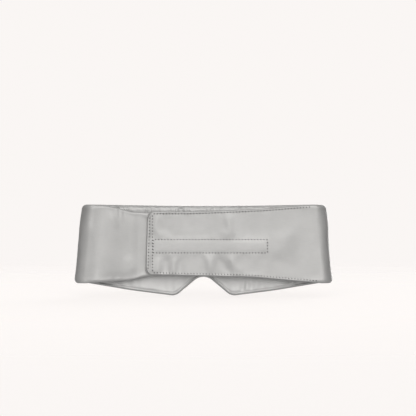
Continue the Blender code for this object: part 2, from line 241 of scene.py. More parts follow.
FRONT_TOP = outline(mirrored(TOP_CORNER), TOP_MIDDLE, TOP_CORNER)
FRONT_BOTTOM = outline(mirrored(BOTTOM_CORNER), mirrored(BOTTOM_BOW), mirrored(LOBE_CORNER), NOTCH_APEX,
                       LOBE_CORNER, BOTTOM_BOW, BOTTOM_CORNER)
RIGHT_TOP = outline(mirrored(TOP_CORNER), *RIGHT_TOP_BENDS, RIGHT_TIP_TOP)
RIGHT_BOTTOM = outline(mirrored(BOTTOM_CORNER), RIGHT_BOTTOM_BEND, RIGHT_TIP_BOTTOM)
LEFT_TOP = outline((LEFT_TIP_X, LEFT_TIP_HALF_HEIGHT), *reversed(LEFT_TOP_BENDS), TOP_CORNER)
LEFT_BOTTOM = outline((LEFT_TIP_X, -LEFT_TIP_HALF_HEIGHT), *reversed(LEFT_BOTTOM_BENDS), BOTTOM_CORNER)

PARTS = ("left", "left_fold", "front", "right_fold", "right", "tab")
TOPS = dict(zip(PARTS, (LEFT_TOP, *[FRONT_TOP] * 3, RIGHT_TOP, RIGHT_TOP)))
BOTTOMS = dict(zip(PARTS, (LEFT_BOTTOM, *[FRONT_BOTTOM] * 3, RIGHT_BOTTOM, RIGHT_BOTTOM)))


def right_tip_x(z):
    share = (z - RIGHT_TIP_BOTTOM[1]) / (RIGHT_TIP_TOP[1] - RIGHT_TIP_BOTTOM[1])
    return RIGHT_TIP_BOTTOM[0] + share * (RIGHT_TIP_TOP[0] - RIGHT_TIP_BOTTOM[0])


def corner_drop(distance, radius):
    """How far a rounded corner falls away, at a distance from the strap's end."""
    inside = np.clip(radius - distance, 0.0, radius)
    return radius - np.sqrt(radius ** 2 - inside ** 2)


# ---- The wrap as one grid: columns along the band, rows up it ----
def from_tip(length):
    """Shares from 0 to 1 along a strap: close together at its tip, even after that."""
    near = np.array(EDGE_ROWS)
    return np.concatenate([near[:-1], even(near[-1], length, length - near[-1])]) / length


def even(start, end, length):
    """An even number of steps from a start to an end, without the end, for columns over a length."""
    return np.linspace(start, end, 2 * int(length / COLUMN_STEP / 2) + 1)[:-1]


def column_places():
    """(part, share) of every column: where it lies in its part of the wrap."""
    fold = even(0, 1, math.pi * FOLD_RADIUS)
    shares = (from_tip(FOLD_CENTRE_X - LEFT_TIP_X), fold, even(1, -1, 2 * FOLD_CENTRE_X), fold,
              even(0, 1, FOLD_CENTRE_X + TAB_GROOVE_X), TAB_COLUMNS)
    return [(part, share) for part, places in zip(PARTS, shares) for share in places]


def column_x(part, share, z):
    """The x of a column at a height; on a fold, the x of the fold's centre line."""
    fold = fold_x(z)
    ends = ((LEFT_TIP_X, fold), (fold, fold), (0.0, fold), (-fold, -fold), (-fold, TAB_GROOVE_X),
            (TAB_GROOVE_X, right_tip_x(z)))
    start, end = ends[PARTS.index(part)]
    return start + (end - start) * share


def column_edge(part, share, lines):
    """The height where a column meets the outline at one edge."""
    z = 0.0
    for _ in range(EDGE_TRIES):
        x = column_x(part, share, z)
        z = float(height_on(lines[part], x))
        if part == "left":
            drop = corner_drop(x - LEFT_TIP_X, LEFT_TIP_RADIUS)
        elif part in ("right", "tab"):
            drop = corner_drop(right_tip_x(z) - x, RIGHT_TIP_RADIUS)
        elif part.endswith("fold"):
            drop = corner_drop(FOLD_OUTSIDE * (1 - math.sin(math.pi * share)), FOLD_CORNER)
        else:
            drop = 0.0
        z -= math.copysign(drop, z)
    return z


def row_heights(bottom, top):
    """The heights of all rows of a column: close together at both edges, even between."""
    edge = np.array(EDGE_ROWS)
    edge = edge * min(1.0, (top - bottom) / (EDGE_ROWS_SHARE * edge[-1]))
    middle = np.linspace(bottom + edge[-1], top - edge[-1], MIDDLE_ROWS + 1)[1:-1]
    return np.concatenate([bottom + edge, middle, top - edge[::-1]])


def settled(distance, start, end, y):
    """A strap's depth: the fold's radius at the fold, its own depth where it has settled."""
    return FOLD_RADIUS + (y - FOLD_RADIUS) * between(distance, start, end)


def rolled_radius(turn, roll, width, depth):
    """From the fold's centre to an oval that is centred a roll's length further in."""
    square = (np.cos(turn) / width) ** 2 + (np.sin(turn) / depth) ** 2
    linear = 2 * np.cos(turn) * roll / width ** 2
    rest = (roll / width) ** 2 - 1
    return (np.sqrt(linear ** 2 - 4 * square * rest) - linear) / (2 * square)


class Wrap:
    """The grid's arrays, each with a row for every column and a place for every row of it."""

    def __init__(self):
        columns = column_places()
        ones = np.ones((len(columns), 2 * len(EDGE_ROWS) + MIDDLE_ROWS - 1))
        self.count, self.rows = ones.shape
        self.part = np.array([part for part, _ in columns])
        self.share = np.array([share for _, share in columns])[:, None] * ones
        self.z = np.array([
            row_heights(column_edge(*column, BOTTOMS), column_edge(*column, TOPS)) for column in columns])
        self.x = np.array([column_x(*column, z) for column, z in zip(columns, self.z)])
        self.where = {part: (self.part == part)[:, None] & (ones > 0) for part in PARTS}
        self.where["right"] = self.where["right"] | self.where["tab"]
        self.from_fold = fold_x(self.z) + np.where(self.where["right"], self.x, -np.abs(self.x))
        self.lay_out()
        self.measure_edges()

    def lay_out(self):
        """The middle surface, its outward direction and the half thickness."""
        kinds = [self.where[name] for name in ("front", "left", "right")]
        straps = [settled(self.from_fold, *way) for way in (LEFT_SETTLES, RIGHT_SETTLES)]
        depth = np.select(kinds, [-FOLD_RADIUS, *straps])
        depth += np.where(self.where["tab"], TAB_LIFT * smooth(self.share), 0.0)
        self.middle = np.stack([self.x, depth, self.z], -1)
        self.out = np.zeros_like(self.middle)
        self.out[..., 1] = np.where(kinds[0], -1.0, 1.0)
        half = np.select(kinds, [FRONT_HALF, LEFT_HALF, RIGHT_HALF])
        taper = between(np.abs(self.x), *FRONT_TAPER) * kinds[0]
        self.half = half + (FOLD_HALF - FRONT_HALF) * taper
        outside = fold_outside(self.x, self.z)
        roll = np.select(kinds, [FRONT_ROLL, LEFT_ROLL[0], RIGHT_ROLL[0]])
        swollen = between(self.from_fold, *SWELL_REACH) * np.select(kinds, [0.0, LEFT_ROLL[1], RIGHT_ROLL[1]])
        curve = np.clip((roll - self.from_fold) / (roll + outside), 0.0, 1.0)
        self.outer_half = (half + np.abs(depth) + swollen) * np.sqrt(1 - curve ** 2) - np.abs(depth)
        for name, side, strap_half, (strap_roll, strap_swell) in (
                ("left_fold", 1, LEFT_HALF, LEFT_ROLL), ("right_fold", -1, RIGHT_HALF, RIGHT_ROLL)):
            here = self.where[name]
            turn = (side * np.radians(90.0 - 180.0 * self.share))[here]
            outwards = np.stack([side * np.cos(turn), np.sin(turn)], -1)
            self.middle[here, :2] += FOLD_RADIUS * outwards
            self.out[here, :2] = outwards
            towards_front = (self.share if side > 0 else 1 - self.share)[here]
            self.half[here] = strap_half + (FOLD_HALF - strap_half) * smooth(towards_front)
            on_strap = outwards[:, 1] > 0
            roll = np.where(on_strap, strap_roll, FRONT_ROLL)
            reach = FOLD_RADIUS + np.where(on_strap, strap_half + strap_swell, FRONT_HALF)
            self.outer_half[here] = rolled_radius(turn, roll, roll + outside[here], reach) - FOLD_RADIUS
        for _ in range(SKIN_EVENING):
            self.outer_half = evened_out(self.outer_half, 0)
        step = np.linalg.norm(np.diff(self.middle[:, self.rows // 2], axis=0), axis=-1)
        self.along = np.concatenate([[0.0], np.cumsum(step)])[:, None] * np.ones(self.rows)

    def measure_edges(self):
        """How far each place is from the top edge, the bottom edge and the nearest edge."""
        self.to_top = self.z[:, -1:] - self.z
        self.to_bottom = self.z - self.z[:, :1]
        for name in ("front", "left", "right"):
            here = self.where[name]
            for gap, lines in ((self.to_top, TOPS), (self.to_bottom, BOTTOMS)):
                gap[here] = np.minimum(gap[here], distance_to(lines[name], self.x[here], self.z[here]))
        beside = np.minimum(self.to_top, self.to_bottom)
        self.edge = beside.copy()
        for name, to_tip, radius in (("left", self.x - LEFT_TIP_X, LEFT_TIP_RADIUS),
                                     ("right", right_tip_x(self.z) - self.x, RIGHT_TIP_RADIUS)):
            here = self.where[name]
            self.edge[here] = np.minimum(beside, to_tip)[here]
            near = here & (to_tip < radius) & (beside < radius)
            corner = radius - np.hypot(radius - to_tip, radius - beside)
            self.edge[near] = np.clip(corner[near], 0.0, None)
        self.edge[:, (0, -1)] = 0.0
        self.edge[(0, -1), :] = 0.0
        self.on_edge = self.edge <= 1e-9


# ---- Swelling and folds ----
FRONT_CROWN = 0.0022  # how far the front stands out in its middle
CROWN_REACH = (0.04, 0.028)  # over this much from the top and the bottom edge
CROWN_SIDES = (0.128, 0.068)
FRONT_CREASES = (  # start, end, width, height and, for a curved one, its bow
    ((0.0012, -0.038), (-0.0042, -0.0235), 0.0013, -0.0015, 0.0004),
    ((0.005, -0.038), (-0.0005, -0.0205), 0.0026, 0.0009),
    ((-0.11, -0.03), (-0.088, 0.000), 0.005, 0.0006),
    ((0.104, -0.036), (0.092, -0.01), 0.0042, 0.0006),
)
FRONT_MOUNDS = (  # centre, size and height
    ((0.024, -0.028), (0.017, 0.014), 0.0014),
    ((-0.018, -0.022), (0.016, 0.016), -0.0012),
)
LEFT_CREASES = (
    ((0.0965, 0.034), (0.09, 0.014), 0.0026, 0.0004),
    ((0.07, -0.03), (0.082, -0.012), 0.005, 0.0003),
)
RIGHT_CREASES = (
    ((0.022, -0.012), (0.024, -0.034), 0.0034, -0.00036, 0.001),
    ((0.03, -0.013), (0.031, -0.034), 0.0032, 0.00042, 0.0008),
    ((0.039, -0.011), (0.04, -0.034), 0.0038, -0.00052, -0.0006),
    ((0.047, -0.01), (0.046, -0.033), 0.003, 0.00034, 0.0004),
    ((0.042, 0.008), (0.036, 0.034), 0.0046, -0.00034, 0.001),
    ((0.05, 0.01), (0.046, 0.033), 0.003, 0.00022, -0.0006),
    ((0.012, 0.012), (0.018, 0.033), 0.006, -0.0003, 0.001),
    ((-0.024, -0.009), (-0.044, -0.033), 0.0046, 0.0006, 0.002),
    ((-0.013, -0.01), (-0.03, -0.033), 0.0038, -0.00045, 0.0012),
    ((-0.002, -0.01), (-0.01, -0.032), 0.0042, 0.0003, -0.001),
    ((-0.066, -0.012), (-0.096, 0.002), 0.008, 0.00035, -0.002),
    ((-0.066, 0.004), (-0.1, 0.014), 0.006, 0.00025, 0.0015),
    ((-0.07, -0.014), (-0.104, -0.026), 0.006, -0.00025, 0.001),
    ((-0.03, 0.01), (-0.022, 0.033), 0.005, 0.00035, 0.0008),
)


def roundness(edge, radius):
    """0 at the edge, 1 from a radius in, along a curve like a quarter circle that ends softly."""
    inside = 1 - np.clip(edge / radius, 0.0, 1.0)
    return np.sqrt(np.clip(1 - inside ** 2.6, 0.0, 1.0))


def ripple(t, pitch, seed):
    """An uneven wave from -1 to 1."""
    turn = 2 * np.pi * t / pitch
    bend = 1.5 * np.sin(turn / 3.7 + seed) + 0.9 * np.sin(turn / 2.3 + 2.1 * seed)
    strength = 0.65 + 0.35 * np.sin(turn / 5.3 + 3.3 * seed)
    return strength * np.sin(turn + bend)


def ridge(distance, width, height):
    """A soft ridge along a line, or a groove if its height is negative."""
    return height * np.exp(-(distance / width) ** 2)


def crease(x, z, start, end, width, height, bow=0.0):
    """A long soft ridge, or a furrow if its height is negative, that fades at both ends."""
    start, end = np.array(start), np.array(end)
    length = np.linalg.norm(end - start)
    along = (end - start) / length
    t = ((x - start[0]) * along[0] + (z - start[1]) * along[1]) / length
    away = (z - start[1]) * along[0] - (x - start[0]) * along[1]
    fade = smooth(t / 0.35) * smooth((1 - t) / 0.35)
    return fade * ridge(away - bow * (1 - (2 * t - 1) ** 2), width, height)


def mound(x, z, centre, size, height):
    """A soft hill, or a hollow if its height is negative."""
    return ridge(x - centre[0], size[0], height) * ridge(z - centre[1], size[1], 1.0)


def lumps(x, z, scale, height, seed):
    """Gentle unevenness of the filling."""
    flat = [noise.noise(Vector((a / scale, b / scale, seed))) for a, b in zip(x.ravel(), z.ravel())]
    return height * np.array(flat).reshape(x.shape)


def puckers(t, edge, height, pitch, reach, seed):
    """Small waves along a seam: strong just inside its edge, nothing on it, fading further in."""
    return height * ripple(t, pitch, seed) * smooth(edge / (0.35 * reach)) * ridge(edge, reach, 1.0)


def window(value, low, high, soft):
    return smooth((value - low) / soft) * smooth((high - value) / soft)


def front_outer_shape(wrap):
    x, z, top, bottom = wrap.x, wrap.z, wrap.to_top, wrap.to_bottom
    shape = lumps(x, z, 0.045, 0.0009, 3.0) + lumps(x, z, 0.017, 0.00025, 8.0)
    middle = smooth(top / CROWN_REACH[0]) * smooth(bottom / CROWN_REACH[1])
    shape += FRONT_CROWN * middle * between(np.abs(x), *CROWN_SIDES)
    shape += sum(crease(x, z, *fold) for fold in FRONT_CREASES)
    shape += sum(mound(x, z, *hill) for hill in FRONT_MOUNDS)
    ends = window(x, -0.116, -0.084, 0.008) + window(x, 0.088, 0.118, 0.008)
    shape += puckers(x, bottom, 0.0006, 0.0052, 0.0065, 1.0) * ends
    shape += puckers(x, bottom, 0.00016, 0.0061, 0.006, 4.0)
    shape += puckers(x, top, 0.00022, 0.0074, 0.0065, 2.0)
    shape += ridge(bottom - 0.0034, 0.0007, -0.00014)
    return shape * smooth(wrap.edge / 0.003) * smooth(wrap.from_fold / CALM_REACH)


def front_lining_shape(wrap):
    x, z, edge = wrap.x, wrap.z, wrap.edge
    top, bottom = wrap.to_top - 0.0018, wrap.to_bottom - 0.0022
    lobe = 0.55 + 0.45 * smooth(-x / 0.03)
    shape = lumps(x, z, 0.03, 0.0008, 5.0)
    shape += puckers(x, bottom, 0.00065, 0.0118, 0.012, 1.7) * lobe
    shape += puckers(x + 0.4 * z, bottom, 0.00016, 0.0064, 0.007, 5.1) * lobe
    shape += puckers(x, top, 0.00085, 0.0062, 0.008, 2.9)
    shape += puckers(x - 0.5 * z, top, 0.00045, 0.0113, 0.012, 6.0)
    shape += ridge(edge - EDGE_ROWS[SEAM_ROW], 0.00055, -0.0006) + ridge(edge - 0.0014, 0.0009, 0.00025)
    return shape * smooth(edge / 0.0012) * smooth((wrap.from_fold - JOIN_DISTANCE) / 0.01)


def left_outer_shape(wrap):
    x, z, edge = wrap.x, wrap.z, wrap.edge
    open_part = smooth((x - 0.0605) / 0.014)
    shape = 0.0006 * open_part * smooth(edge / 0.012) + lumps(x, z, 0.03, 0.0004, 11.0) * open_part
    shape += puckers(x, wrap.to_top, 0.0006, 0.0042, 0.0062, 0.6) * window(x, 0.078, 0.106, 0.007)
    shape += puckers(x, wrap.to_bottom, 0.00025, 0.0058, 0.006, 2.2) * open_part
    shape += sum(crease(x, z, *fold) for fold in LEFT_CREASES)
    return shape * smooth(edge / 0.003) * open_part * smooth(wrap.from_fold / CALM_REACH)


def box_distance(wrap):
    """The distance from the sewn box's line of stitches, and which places lie inside it."""
    low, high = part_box("loop_tape")
    x_out = np.maximum(low.x - wrap.x, wrap.x - high.x) + TAPE_STITCH_INSET
    z_out = np.maximum(low.z - wrap.z, wrap.z - high.z) + TAPE_STITCH_INSET
    inside = np.maximum(x_out, z_out)
    outside = np.hypot(np.maximum(x_out, 0), np.maximum(z_out, 0))
    return np.where(inside > 0, outside, -inside), inside < 0


def right_outer_shape(wrap):
    x, z, edge = wrap.x, wrap.z, wrap.edge
    from_box, in_box = box_distance(wrap)
    from_box = np.where(x > TAB_GROOVE_X, 1.0, from_box)
    shape = lumps(x, z, 0.03, 0.00045, 14.0)
    shape += ridge(edge - EDGE_STITCH_INSET, 0.0009, -0.0001) + ridge(from_box, 0.0011, -0.00007)
    shape += 0.00012 * smooth(np.where(in_box, from_box, 0.0) / 0.005)
    away = smooth((from_box - 0.0006) / 0.007) * ~in_box
    shape += away * sum(crease(x, z, *fold) for fold in RIGHT_CREASES)
    shape += puckers(x, np.where(in_box, 1.0, from_box), 0.00014, 0.0066, 0.005, 0.9)
    shape += puckers(x, np.minimum(wrap.to_top, wrap.to_bottom), 0.0002, 0.0056, 0.006, 3.0)
    shape += ridge(x - TAB_GROOVE_X + 0.0006, 0.0008, -0.0007)
    shape += 0.0001 * window(x, TAB_GROOVE_X, 0.07, 0.0015) * ripple(z, 0.007, 2.4)
    return shape * smooth(edge / 0.0016) * smooth(wrap.from_fold / 0.024)


def fold_shape(wrap):
    x, z, edge = wrap.x, wrap.z, wrap.edge
    turn = np.degrees(np.arctan2(wrap.middle[..., 1], np.abs(wrap.middle[..., 0]) - fold_x(z)))
    shape = lumps(turn / 3000, z, 0.024, 0.0003, 21.0)
    shape += 0.00012 * ripple(z, 0.012, 1.2) * ridge(turn - 30, 40, 1.0)
    return shape * smooth(edge / 0.004) * np.sin(np.pi * wrap.share) ** 2


def skins(wrap):
    """How far the outer skin and the lining lie from the middle surface."""
    front, left, right = wrap.where["front"], wrap.where["left"], wrap.where["right"]
    folds = wrap.where["left_fold"] | wrap.where["right_fold"]
    off_fold = smooth(wrap.from_fold / OFF_FOLD)
    rim = EDGE_ROUNDING + off_fold * np.select([front, left, right], ROUNDING_CHANGES)
    pillow = FRONT_PILLOW[1] * off_fold * front
    outer = wrap.outer_half * (
        (1 - pillow) * roundness(wrap.edge, np.where(front, FRONT_RIM, rim))
        + pillow * roundness(wrap.edge, FRONT_PILLOW[0]))
    lining_rim = np.where(wrap.to_top < TOP_RIM_REACH, TOP_RIM, np.minimum(rim, LINING_RIM))
    lining = wrap.half * roundness(wrap.edge, lining_rim)
    shapes = (front_outer_shape(wrap) * front + left_outer_shape(wrap) * left
              + right_outer_shape(wrap) * right + fold_shape(wrap) * folds)
    return outer + evened_out(shapes, 0), lining + front_lining_shape(wrap) * front


# ---- Cloth simulation ----
SWELL_FRAMES = 20
PRESSURE = 4.0
EXTRA_CLOTH = -0.012  # a negative shrinkage: the cloth is cut a little large
STEADY_REACH = 0.003  # the cloth is still at an edge, and free from here in
TOP_HELD = (0.6, 0.012)  # how much, and over what distance, the front's top edge is held
JOIN_REACH = 0.012  # the front's lining is free from here on past its ends
CAP_EVENING, MOVE_EVENING = 40, 4
CAPS = {  # how far each part may move: its outer skin and its lining
    "front": (0.0014, 0.0016), "left_fold": (0.0004, 0.0003), "right_fold": (0.0004, 0.0003),
    "left": (0.0005, 0.0004), "right": (0.0005, 0.0), "tab": (0.0002, 0.0)}


def shell_faces(columns, rows, lining_start):
    """Quads of both skins, which share the vertices of all four edges. Gives indices too."""
    outer = np.arange(columns * rows).reshape(columns, rows)
    lining = outer + columns * rows
    lining[0], lining[-1], lining[:, 0], lining[:, -1] = outer[0], outer[-1], outer[:, 0], outer[:, -1]
    quads = []
    for index, order in ((outer, (0, 1, 2, 3)), (lining, (0, 3, 2, 1))):
        corners = (index[:-1, :-1], index[1:, :-1], index[1:, 1:], index[:-1, 1:])
        quads.append(np.stack([corners[k] for k in order], -1).reshape(-1, 4))
    row = np.minimum(np.arange(rows - 1), np.arange(rows - 1)[::-1])
    lined = np.tile(row >= lining_start, columns - 1)
    return np.concatenate(quads), np.concatenate([np.zeros_like(lined), lined]), outer, lining


def swell(wrap, points):
    """Runs the cloth simulation on every second column and row, and gives the moves."""
    coarse = points[:, ::2, ::2]
    columns, rows = coarse.shape[1:3]
    quads, _, outer, lining = shell_faces(columns, rows, 0)
    used, compact = np.unique(quads, return_inverse=True)
    flat = coarse.reshape(-1, 3)
    trial = make_object("swelling_wrap", flat[used], compact.reshape(-1, 4))
    pinned = np.tile(held_still(wrap)[::2, ::2].ravel(), 2)[used]
    group = trial.vertex_groups.new(name="pinned")
    group.add(np.nonzero(pinned)[0].tolist(), 1.0, "REPLACE")
    cloth = trial.modifiers.new("swell", "CLOTH")
    cloth.settings.quality = 4
    cloth.settings.use_pressure = True
    cloth.settings.uniform_pressure_force = PRESSURE
    cloth.settings.shrink_min = EXTRA_CLOTH
    cloth.settings.vertex_group_mass = group.name
    cloth.settings.effector_weights.gravity = 0.0
    cloth.collision_settings.use_collision = False
    cloth.point_cache.frame_start, cloth.point_cache.frame_end = 1, SWELL_FRAMES
    for number in range(1, SWELL_FRAMES + 1):
        bpy.context.scene.frame_set(number)
    swollen = trial.evaluated_get(bpy.context.evaluated_depsgraph_get()).to_mesh()
    places = np.empty(len(used) * 3)
    swollen.vertices.foreach_get("co", places)
    moved = np.zeros_like(flat)
    moved[used] = places.reshape(-1, 3) - flat[used]
    bpy.data.meshes.remove(trial.data)  # the object goes with its mesh
    bpy.context.scene.frame_set(1)
    moves = np.stack([moved[outer], moved[lining]])
    return between_rows(between_rows(moves, 1), 2)


def between_rows(values, axis):
    """Doubles a grid's resolution along one axis, on a smooth curve through its values."""
    values = np.moveaxis(values, axis, 0)
    padded = np.concatenate([2 * values[:1] - values[1:2], values, 2 * values[-1:] - values[-2:-1]])
    halves = (9 * (padded[1:-2] + padded[2:-1]) - padded[:-3] - padded[3:]) / 16
    doubled = np.empty((2 * len(values) - 1, *values.shape[1:]))
    doubled[0::2], doubled[1::2] = values, halves
    return np.moveaxis(doubled, 0, axis)


def held_still(wrap):
    """Edges, and the straps where they are sewn to a tape or pressed together."""
    low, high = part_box("loop_tape")
    beside = (wrap.x > low.x) & (wrap.x < high.x)
    sewn = wrap.where["right"] & beside & (wrap.z > low.z) & (wrap.z < high.z)
    pressed = wrap.where["left"] & (wrap.x < high.x)
    return wrap.on_edge | sewn | pressed


def caps_of(wrap):
    return np.array([CAPS[part] for part in wrap.part]).T[:, :, None]


def capped_moves(wrap, moves):
    """Limits how far each place may move, and stills the cloth at edges and under stitches."""
    caps = caps_of(wrap) * np.ones(wrap.rows)
    for _ in range(CAP_EVENING):
        smoothed = np.pad(caps, ((0, 0), (1, 1), (0, 0)), mode="edge")
        caps = (smoothed[:, :-2] + smoothed[:, 1:-1] + smoothed[:, 2:]) / 3
    off_join = smooth((wrap.from_fold - JOIN_DISTANCE) / JOIN_REACH)
    caps[1] *= np.where(wrap.where["front"], off_join, 1.0)
    outwards = np.stack([wrap.out, -wrap.out])
    heights = (moves * outwards).sum(-1)
    limited = heights * caps / np.sqrt(caps ** 2 + heights ** 2 + 1e-16)
    held = wrap.where["front"] * ridge(wrap.to_top, TOP_HELD[1], TOP_HELD[0])
    steady = smooth(wrap.edge / STEADY_REACH) * (1 - held)
    for _ in range(MOVE_EVENING):
        for axis in (1, 2):
            limited = evened_out(limited, axis)
    return (limited * steady)[..., None] * outwards


# ---- Pieces ----
def make_object(name, vertices, faces, *materials):
    mesh = bpy.data.meshes.new(name)
    mesh.from_pydata([tuple(place) for place in vertices], [], [tuple(face) for face in faces])
    for material in materials:
        mesh.materials.append(material)
    mesh.shade_smooth()
    mesh.validate()
    piece = bpy.data.objects.new(name, mesh)
    bpy.context.scene.collection.objects.link(piece)
    return piece


def vertex_normals(places, quads):
    corner = places[quads]
    facing = np.cross(corner[:, 2] - corner[:, 0], corner[:, 3] - corner[:, 1])
    normals = np.zeros_like(places)
    for k in range(4):
        np.add.at(normals, quads[:, k], facing)
    return normals / np.maximum(np.linalg.norm(normals, axis=-1, keepdims=True), 1e-12)


def cut_piece(name, wrap, shell, first, last, materials):
    """The closed piece of the wrap between two columns. Its cut ends are closed inside."""
    places, quads, kinds, outer, lining, normals = shell
    column_of = np.tile(np.repeat(np.arange(wrap.count - 1), wrap.rows - 1), 2)
    chosen = (column_of >= first) & (column_of < last)
    faces, face_kinds = list(quads[chosen]), list(kinds[chosen].astype(int))
    for column, flip in ((first, False), (last, True)):
        if 0 < column < wrap.count - 1:
            for row in range(wrap.rows - 1):
                ring = (*outer[column, row:row + 2], *lining[column, row:row + 2][::-1])
                ring = list(dict.fromkeys(int(index) for index in ring))
                faces.append(ring[::-1] if flip else ring)
                face_kinds.append(0)
    used = sorted({int(index) for face in faces for index in face})
    new_index = {old: new for new, old in enumerate(used)}
    faces = [[new_index[int(index)] for index in face] for face in faces]
    piece = make_object(name, places[used], faces, *materials)
    mesh = piece.data
    mesh.polygons.foreach_set("material_index", np.array(face_kinds, np.int32))
    uv = np.tile(np.stack([wrap.along.ravel(), wrap.z.ravel()], -1), (2, 1))[used]
    corners = np.empty(len(mesh.loops), np.int32)
    mesh.loops.foreach_get("vertex_index", corners)
    mesh.uv_layers.new(name="Cloth").data.foreach_set("uv", uv[corners].astype(np.float32).ravel())
    mesh.normals_split_custom_set_from_vertices([tuple(normal) for normal in normals[used]])
    return piece


# ---- Materials ----
class Nodes:
    """The nodes of a material or a world, with short ways to add and join them."""

    def __init__(self, owner):
        owner.use_nodes = True
        self.owner, self.tree = owner, owner.node_tree
        self.shader = self.tree.nodes.get("Principled BSDF")

    def fill(self, node, values):
        """Gives each named socket of a node its link or its value."""
        for socket, value in values.items():
            if isinstance(value, bpy.types.NodeSocket):
                self.tree.links.new(value, node.inputs[socket])
            else:
                node.inputs[socket].default_value = value

    def add(self, kind, values, **settings):
        node = self.tree.nodes.new(kind)
        for setting, value in settings.items():
            setattr(node, setting, value)
        self.fill(node, values)
        return node

    def math(self, operation, first, second=0.0):
        return self.add("ShaderNodeMath", {0: first, 1: second}, operation=operation).outputs[0]

    def spread(self, value, low, high):
        return self.add("ShaderNodeMapRange", {0: value, 3: low, 4: high}).outputs[0]

    def noise(self, place, scale, detail, **more):
        values = {"Vector": place, "Scale": scale, "Detail": detail, **more}
        return self.add("ShaderNodeTexNoise", values).outputs["Fac"]

    def bump(self, height, strength, distance, **more):
        values = {"Strength": strength, "Distance": distance, "Height": height, **more}
        return self.add("ShaderNodeBump", values).outputs[0]

    def two_tone(self, tone, dark, light):
        values = {0: tone, 6: (*dark, 1.0), 7: (*light, 1.0)}
        return self.add("ShaderNodeMix", values, data_type="RGBA").outputs[2]


def satin(name, dark, light, roughness, sheen, lustre):
    """Close satin weave: fine cross threads, long slubs, faint creases and uneven dye."""
    nodes = Nodes(bpy.data.materials.new(name))
    cloth = nodes.add("ShaderNodeUVMap", {}, uv_map="Cloth").outputs["UV"]
    slub_place = nodes.add("ShaderNodeMapping", {"Vector": cloth, "Scale": (140.0, 2600.0, 1.0)})
    slubs = nodes.noise(slub_place.outputs[0], 1.0, 2.0)
    patches = nodes.noise(cloth, 38.0, 3.0, Roughness=0.55)
    creases = nodes.noise(cloth, 150.0, 4.0, Distortion=0.8)
    thread = {"Vector": cloth, "Scale": 420.0, "Distortion": 0.6, "Detail": 1.0, "Detail Scale": 2.0}
    warp, weft = (nodes.add("ShaderNodeTexWave", thread, bands_direction=direction).outputs["Fac"]
                  for direction in ("X", "Y"))
    weave = nodes.math("MULTIPLY", warp, weft)
    tone = nodes.math("ADD", nodes.math("MULTIPLY", slubs, 0.45), nodes.math("MULTIPLY", patches, 0.75))
    tone = nodes.spread(nodes.math("ADD", tone, nodes.math("MULTIPLY", weave, 0.1)), -0.25, 0.95)
    fine = nodes.bump(weave, 0.35, 0.00006)
    nodes.fill(nodes.shader, {
        "Base Color": nodes.two_tone(tone, dark, light),
        "Roughness": nodes.spread(slubs, roughness - 0.06, roughness + 0.06),
        "Normal": nodes.bump(creases, 0.1, 0.0006, Normal=fine),
        "Metallic": lustre, "Sheen Weight": sheen, "Sheen Roughness": 0.45})
    return nodes.owner


def nylon(name, dark, light):
    """Hook-and-loop tape: dull nylon with a coarse, fuzzy grain."""
    nodes = Nodes(bpy.data.materials.new(name))
    place = nodes.add("ShaderNodeTexCoord", {}).outputs["Object"]
    fuzz = nodes.noise(place, 1400.0, 3.0)
    cells = nodes.add("ShaderNodeTexVoronoi", {"Vector": place, "Scale": 900.0}).outputs["Distance"]
    tone = nodes.math("MULTIPLY", fuzz, nodes.spread(cells, 0.6, 1.5))
    nodes.fill(nodes.shader, {
        "Base Color": nodes.two_tone(tone, dark, light), "Roughness": nodes.spread(fuzz, 0.62, 0.88),
        "Normal": nodes.bump(cells, 0.5, 0.0001), "Specular IOR Level": 0.35})
    return nodes.owner


def painted_shade_thread_shader(name, dark, light):
    """Polyester thread: two plies wound round each other, with painted highlight on their crowns and painted
    shade between them.
    """
    nodes = Nodes(bpy.data.materials.new(name))
    place = nodes.add("ShaderNodeTexCoord", {}).outputs["Object"]
    plies = nodes.add("ShaderNodeTexWave", {"Vector": place, "Scale": 900.0, "Distortion": 1.5},
                      bands_direction="DIAGONAL").outputs["Fac"]
    fibre = nodes.noise(place, 2500.0, 2.0)
    # Painted highlight on the plies' crowns and painted shade between them, times the fibres' random tone.
    tone = nodes.math("MULTIPLY", nodes.spread(plies, 0.5, 1.0), fibre)
    nodes.fill(nodes.shader, {
        "Base Color": nodes.two_tone(tone, dark, light), "Roughness": nodes.spread(fibre, 0.42, 0.62),
        "Normal": nodes.bump(plies, 0.6, 0.00008), "Sheen Weight": 0.2})
    return nodes.owner


# ---- Stitches ----
STITCH_RINGS = (  # place along the stitch, fullness and rise
    (-0.5, 0.3, -0.0003), (-0.44, 0.8, -0.00008), (-0.22, 1.0, 0.0001), (0.0, 1.05, 0.00014),
    (0.22, 1.0, 0.0001), (0.44, 0.8, -0.00008), (0.5, 0.3, -0.0003))
STITCH_SIDES = 8
STITCH_WIDTH, STITCH_HEIGHT = 1.15, 0.85  # as shares of its radius: it is pulled flat


def add_shape(vertices, faces, shape):
    """Adds one small closed shape to a growing mesh."""
    places, sides = shape
    faces += [tuple(index + len(vertices) for index in face) for face in sides]
    vertices += places


def along_path(path, pitch):
    """Even places along a line of (x, z) points, with the direction at each."""
    path = np.array(path)
    reached = np.concatenate([[0.0], np.cumsum(np.linalg.norm(np.diff(path, axis=0), axis=1))])
    count = max(1, round(reached[-1] / pitch))
    middles = (np.arange(count) + 0.5) * reached[-1] / count
    behind, places, ahead = (
        np.stack([np.interp(middles + step, reached, path[:, k]) for k in (0, 1)], -1)
        for step in (-1e-4, 0.0, 1e-4))
    return places, (ahead - behind) / np.linalg.norm(ahead - behind, axis=1, keepdims=True)


